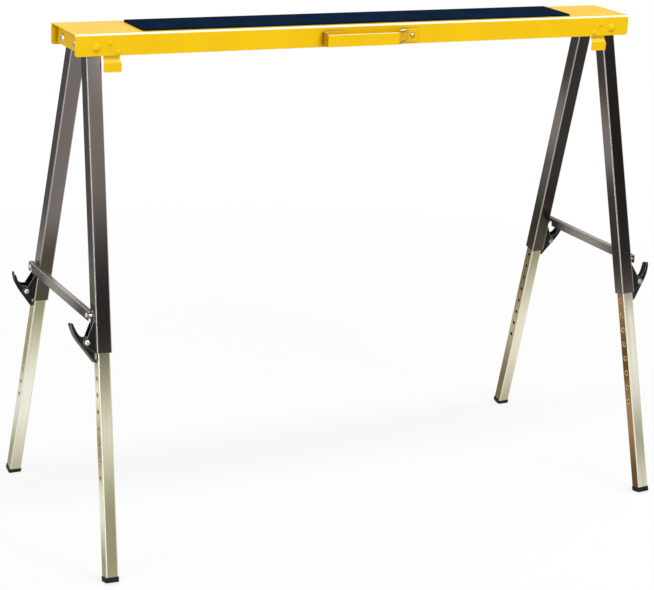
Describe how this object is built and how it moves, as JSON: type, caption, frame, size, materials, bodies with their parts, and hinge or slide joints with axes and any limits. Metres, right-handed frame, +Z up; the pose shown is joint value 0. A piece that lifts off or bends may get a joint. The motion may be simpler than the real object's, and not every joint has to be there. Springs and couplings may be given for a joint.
{
  "type": "builders trestle",
  "caption": "Folding height-adjustable steel trestle: a channel beam with a rubber grip strip and carry handle on splayed telescopic legs with lock levers and hooked struts.",
  "frame": {"origin": "on the floor, under the middle of the beam", "axes": "+X along the beam to the right, +Y to the rear (the handle is at the front, -Y), +Z up"},
  "size_m": [1.0646, 0.4822, 0.813],
  "materials": {
    "yellow_paint": "smooth semi-gloss",
    "grip_rubber": "matt",
    "dark_paint": "gloss",
    "black_paint": "gloss",
    "zinc": "passivated, soft sheen",
    "steel": "bright plated",
    "foot_plastic": "moulded"
  },
  "bodies": {
    "beam": {"beam_channel": "yellow_paint", "grip_pad": "grip_rubber", "carry_handle": "yellow_paint", "handle_rivets": "steel", "left_pivot_rivets": "yellow_paint", "right_pivot_rivets": "yellow_paint", "left_latch_rivets": "yellow_paint", "right_latch_rivets": "yellow_paint", "left_latch_spring": "steel", "right_latch_spring": "steel"},
    "left_bracket": {"left_leg_bracket": "yellow_paint", "left_leg_bolts": "steel", "left_leg_spacers": "steel", "left_leg_nuts": "steel"},
    "left_catch": {"left_latch": "yellow_paint"},
    "left_front_upper_leg": {"left_front_outer_tube": "dark_paint", "left_front_lever_bracket": "black_paint", "left_front_lever_bolt": "steel", "left_front_lever_spring": "steel", "left_strut_bolt": "steel"},
    "left_front_lower_leg": {"left_front_inner_tube": "zinc", "left_front_foot": "foot_plastic"},
    "left_front_lock": {"left_front_lever": "black_paint"},
    "left_rear_upper_leg": {"left_rear_outer_tube": "dark_paint", "left_rear_lever_bracket": "black_paint", "left_rear_lever_bolt": "steel", "left_rear_lever_spring": "steel", "left_hook_stud": "steel"},
    "left_rear_lower_leg": {"left_rear_inner_tube": "zinc", "left_rear_foot": "foot_plastic"},
    "left_rear_lock": {"left_rear_lever": "black_paint"},
    "left_tie": {"left_strut": "dark_paint"},
    "right_bracket": {"right_leg_bracket": "yellow_paint", "right_leg_bolts": "steel", "right_leg_spacers": "steel", "right_leg_nuts": "steel"},
    "right_catch": {"right_latch": "yellow_paint"},
    "right_front_upper_leg": {"right_front_outer_tube": "dark_paint", "right_front_lever_bracket": "black_paint", "right_front_lever_bolt": "steel", "right_front_lever_spring": "steel", "right_strut_bolt": "steel"},
    "right_front_lower_leg": {"right_front_inner_tube": "zinc", "right_front_foot": "foot_plastic"},
    "right_front_lock": {"right_front_lever": "black_paint"},
    "right_rear_upper_leg": {"right_rear_outer_tube": "dark_paint", "right_rear_lever_bracket": "black_paint", "right_rear_lever_bolt": "steel", "right_rear_lever_spring": "steel", "right_hook_stud": "steel"},
    "right_rear_lower_leg": {"right_rear_inner_tube": "zinc", "right_rear_foot": "foot_plastic"},
    "right_rear_lock": {"right_rear_lever": "black_paint"},
    "right_tie": {"right_strut": "dark_paint"}
  },
  "joints": [
    {"name": "left_fold", "type": "hinge", "parent": "beam", "child": "left_bracket", "pos_m": [-0.4665, 0, 0.79], "axis": [0, -1, 0], "range_deg": [0, 92.2]},
    {"name": "left_latch_turn", "type": "hinge", "parent": "beam", "child": "left_catch", "pos_m": [-0.445, 0, 0.796], "axis": [0, -1, 0], "range_deg": [0, 10], "stiffness_Nm_per_rad": 0.2, "springref_deg": -22.92},
    {"name": "left_front_close", "type": "hinge", "parent": "left_bracket", "child": "left_front_upper_leg", "pos_m": [-0.4665, -0.028, 0.79], "axis": [0.9993, 0, -0.0384], "range_deg": [0, 14.5]},
    {"name": "left_front_height", "type": "slide", "parent": "left_front_upper_leg", "child": "left_front_lower_leg", "axis": [0.0372, 0.2487, 0.9679], "range_m": [0, 0.325]},
    {"name": "left_front_lock_turn", "type": "hinge", "parent": "left_front_upper_leg", "child": "left_front_lock", "pos_m": [-0.5088, -0.13916, 0.35835], "axis": [-0.0095, 0.9686, -0.2485], "range_deg": [0, 20], "stiffness_Nm_per_rad": 0.3, "springref_deg": -28.65},
    {"name": "left_rear_close", "type": "hinge", "parent": "left_bracket", "child": "left_rear_upper_leg", "pos_m": [-0.4665, 0.028, 0.79], "axis": [-0.9993, 0, 0.0384], "range_deg": [0, 14.5]},
    {"name": "left_rear_height", "type": "slide", "parent": "left_rear_upper_leg", "child": "left_rear_lower_leg", "axis": [0.0372, -0.2487, 0.9679], "range_m": [0, 0.325]},
    {"name": "left_rear_lock_turn", "type": "hinge", "parent": "left_rear_upper_leg", "child": "left_rear_lock", "pos_m": [-0.5088, 0.13916, 0.35835], "axis": [0.0095, 0.9686, 0.2485], "range_deg": [0, 20], "stiffness_Nm_per_rad": 0.3, "springref_deg": -28.65},
    {"name": "left_strut_lift", "type": "hinge", "parent": "left_front_upper_leg", "child": "left_tie", "pos_m": [-0.49878, -0.12897, 0.3977], "axis": [0.9993, 0, -0.0384], "range_deg": [0, 75.8]},
    {"name": "right_fold", "type": "hinge", "parent": "beam", "child": "right_bracket", "pos_m": [0.4665, 0, 0.79], "axis": [0, 1, 0], "range_deg": [0, 85.5]},
    {"name": "right_latch_turn", "type": "hinge", "parent": "beam", "child": "right_catch", "pos_m": [0.445, 0, 0.796], "axis": [0, 1, 0], "range_deg": [0, 10], "stiffness_Nm_per_rad": 0.2, "springref_deg": -22.92},
    {"name": "right_front_close", "type": "hinge", "parent": "right_bracket", "child": "right_front_upper_leg", "pos_m": [0.4665, -0.028, 0.79], "axis": [0.9993, 0, 0.0384], "range_deg": [0, 14.5]},
    {"name": "right_front_height", "type": "slide", "parent": "right_front_upper_leg", "child": "right_front_lower_leg", "axis": [-0.0372, 0.2487, 0.9679], "range_m": [0, 0.325]},
    {"name": "right_front_lock_turn", "type": "hinge", "parent": "right_front_upper_leg", "child": "right_front_lock", "pos_m": [0.5088, -0.13916, 0.35835], "axis": [-0.0095, -0.9686, 0.2485], "range_deg": [0, 20], "stiffness_Nm_per_rad": 0.3, "springref_deg": -28.65},
    {"name": "right_rear_close", "type": "hinge", "parent": "right_bracket", "child": "right_rear_upper_leg", "pos_m": [0.4665, 0.028, 0.79], "axis": [-0.9993, 0, -0.0384], "range_deg": [0, 14.5]},
    {"name": "right_rear_height", "type": "slide", "parent": "right_rear_upper_leg", "child": "right_rear_lower_leg", "axis": [-0.0372, -0.2487, 0.9679], "range_m": [0, 0.325]},
    {"name": "right_rear_lock_turn", "type": "hinge", "parent": "right_rear_upper_leg", "child": "right_rear_lock", "pos_m": [0.5088, 0.13916, 0.35835], "axis": [0.0095, -0.9686, -0.2485], "range_deg": [0, 20], "stiffness_Nm_per_rad": 0.3, "springref_deg": -28.65},
    {"name": "right_strut_lift", "type": "hinge", "parent": "right_front_upper_leg", "child": "right_tie", "pos_m": [0.49878, -0.12897, 0.3977], "axis": [0.9993, 0, 0.0384], "range_deg": [0, 75.8]}
  ],
  "couplings": [
    {"joint": "left_front_close", "follows": "left_fold", "ratio": 0.15618},
    {"joint": "left_rear_close", "follows": "left_fold", "ratio": 0.15618},
    {"joint": "left_strut_lift", "follows": "left_fold", "ratio": 0.81996},
    {"joint": "right_front_close", "follows": "right_fold", "ratio": 0.16842},
    {"joint": "right_rear_close", "follows": "right_fold", "ratio": 0.16842},
    {"joint": "right_strut_lift", "follows": "right_fold", "ratio": 0.88421}
  ]
}
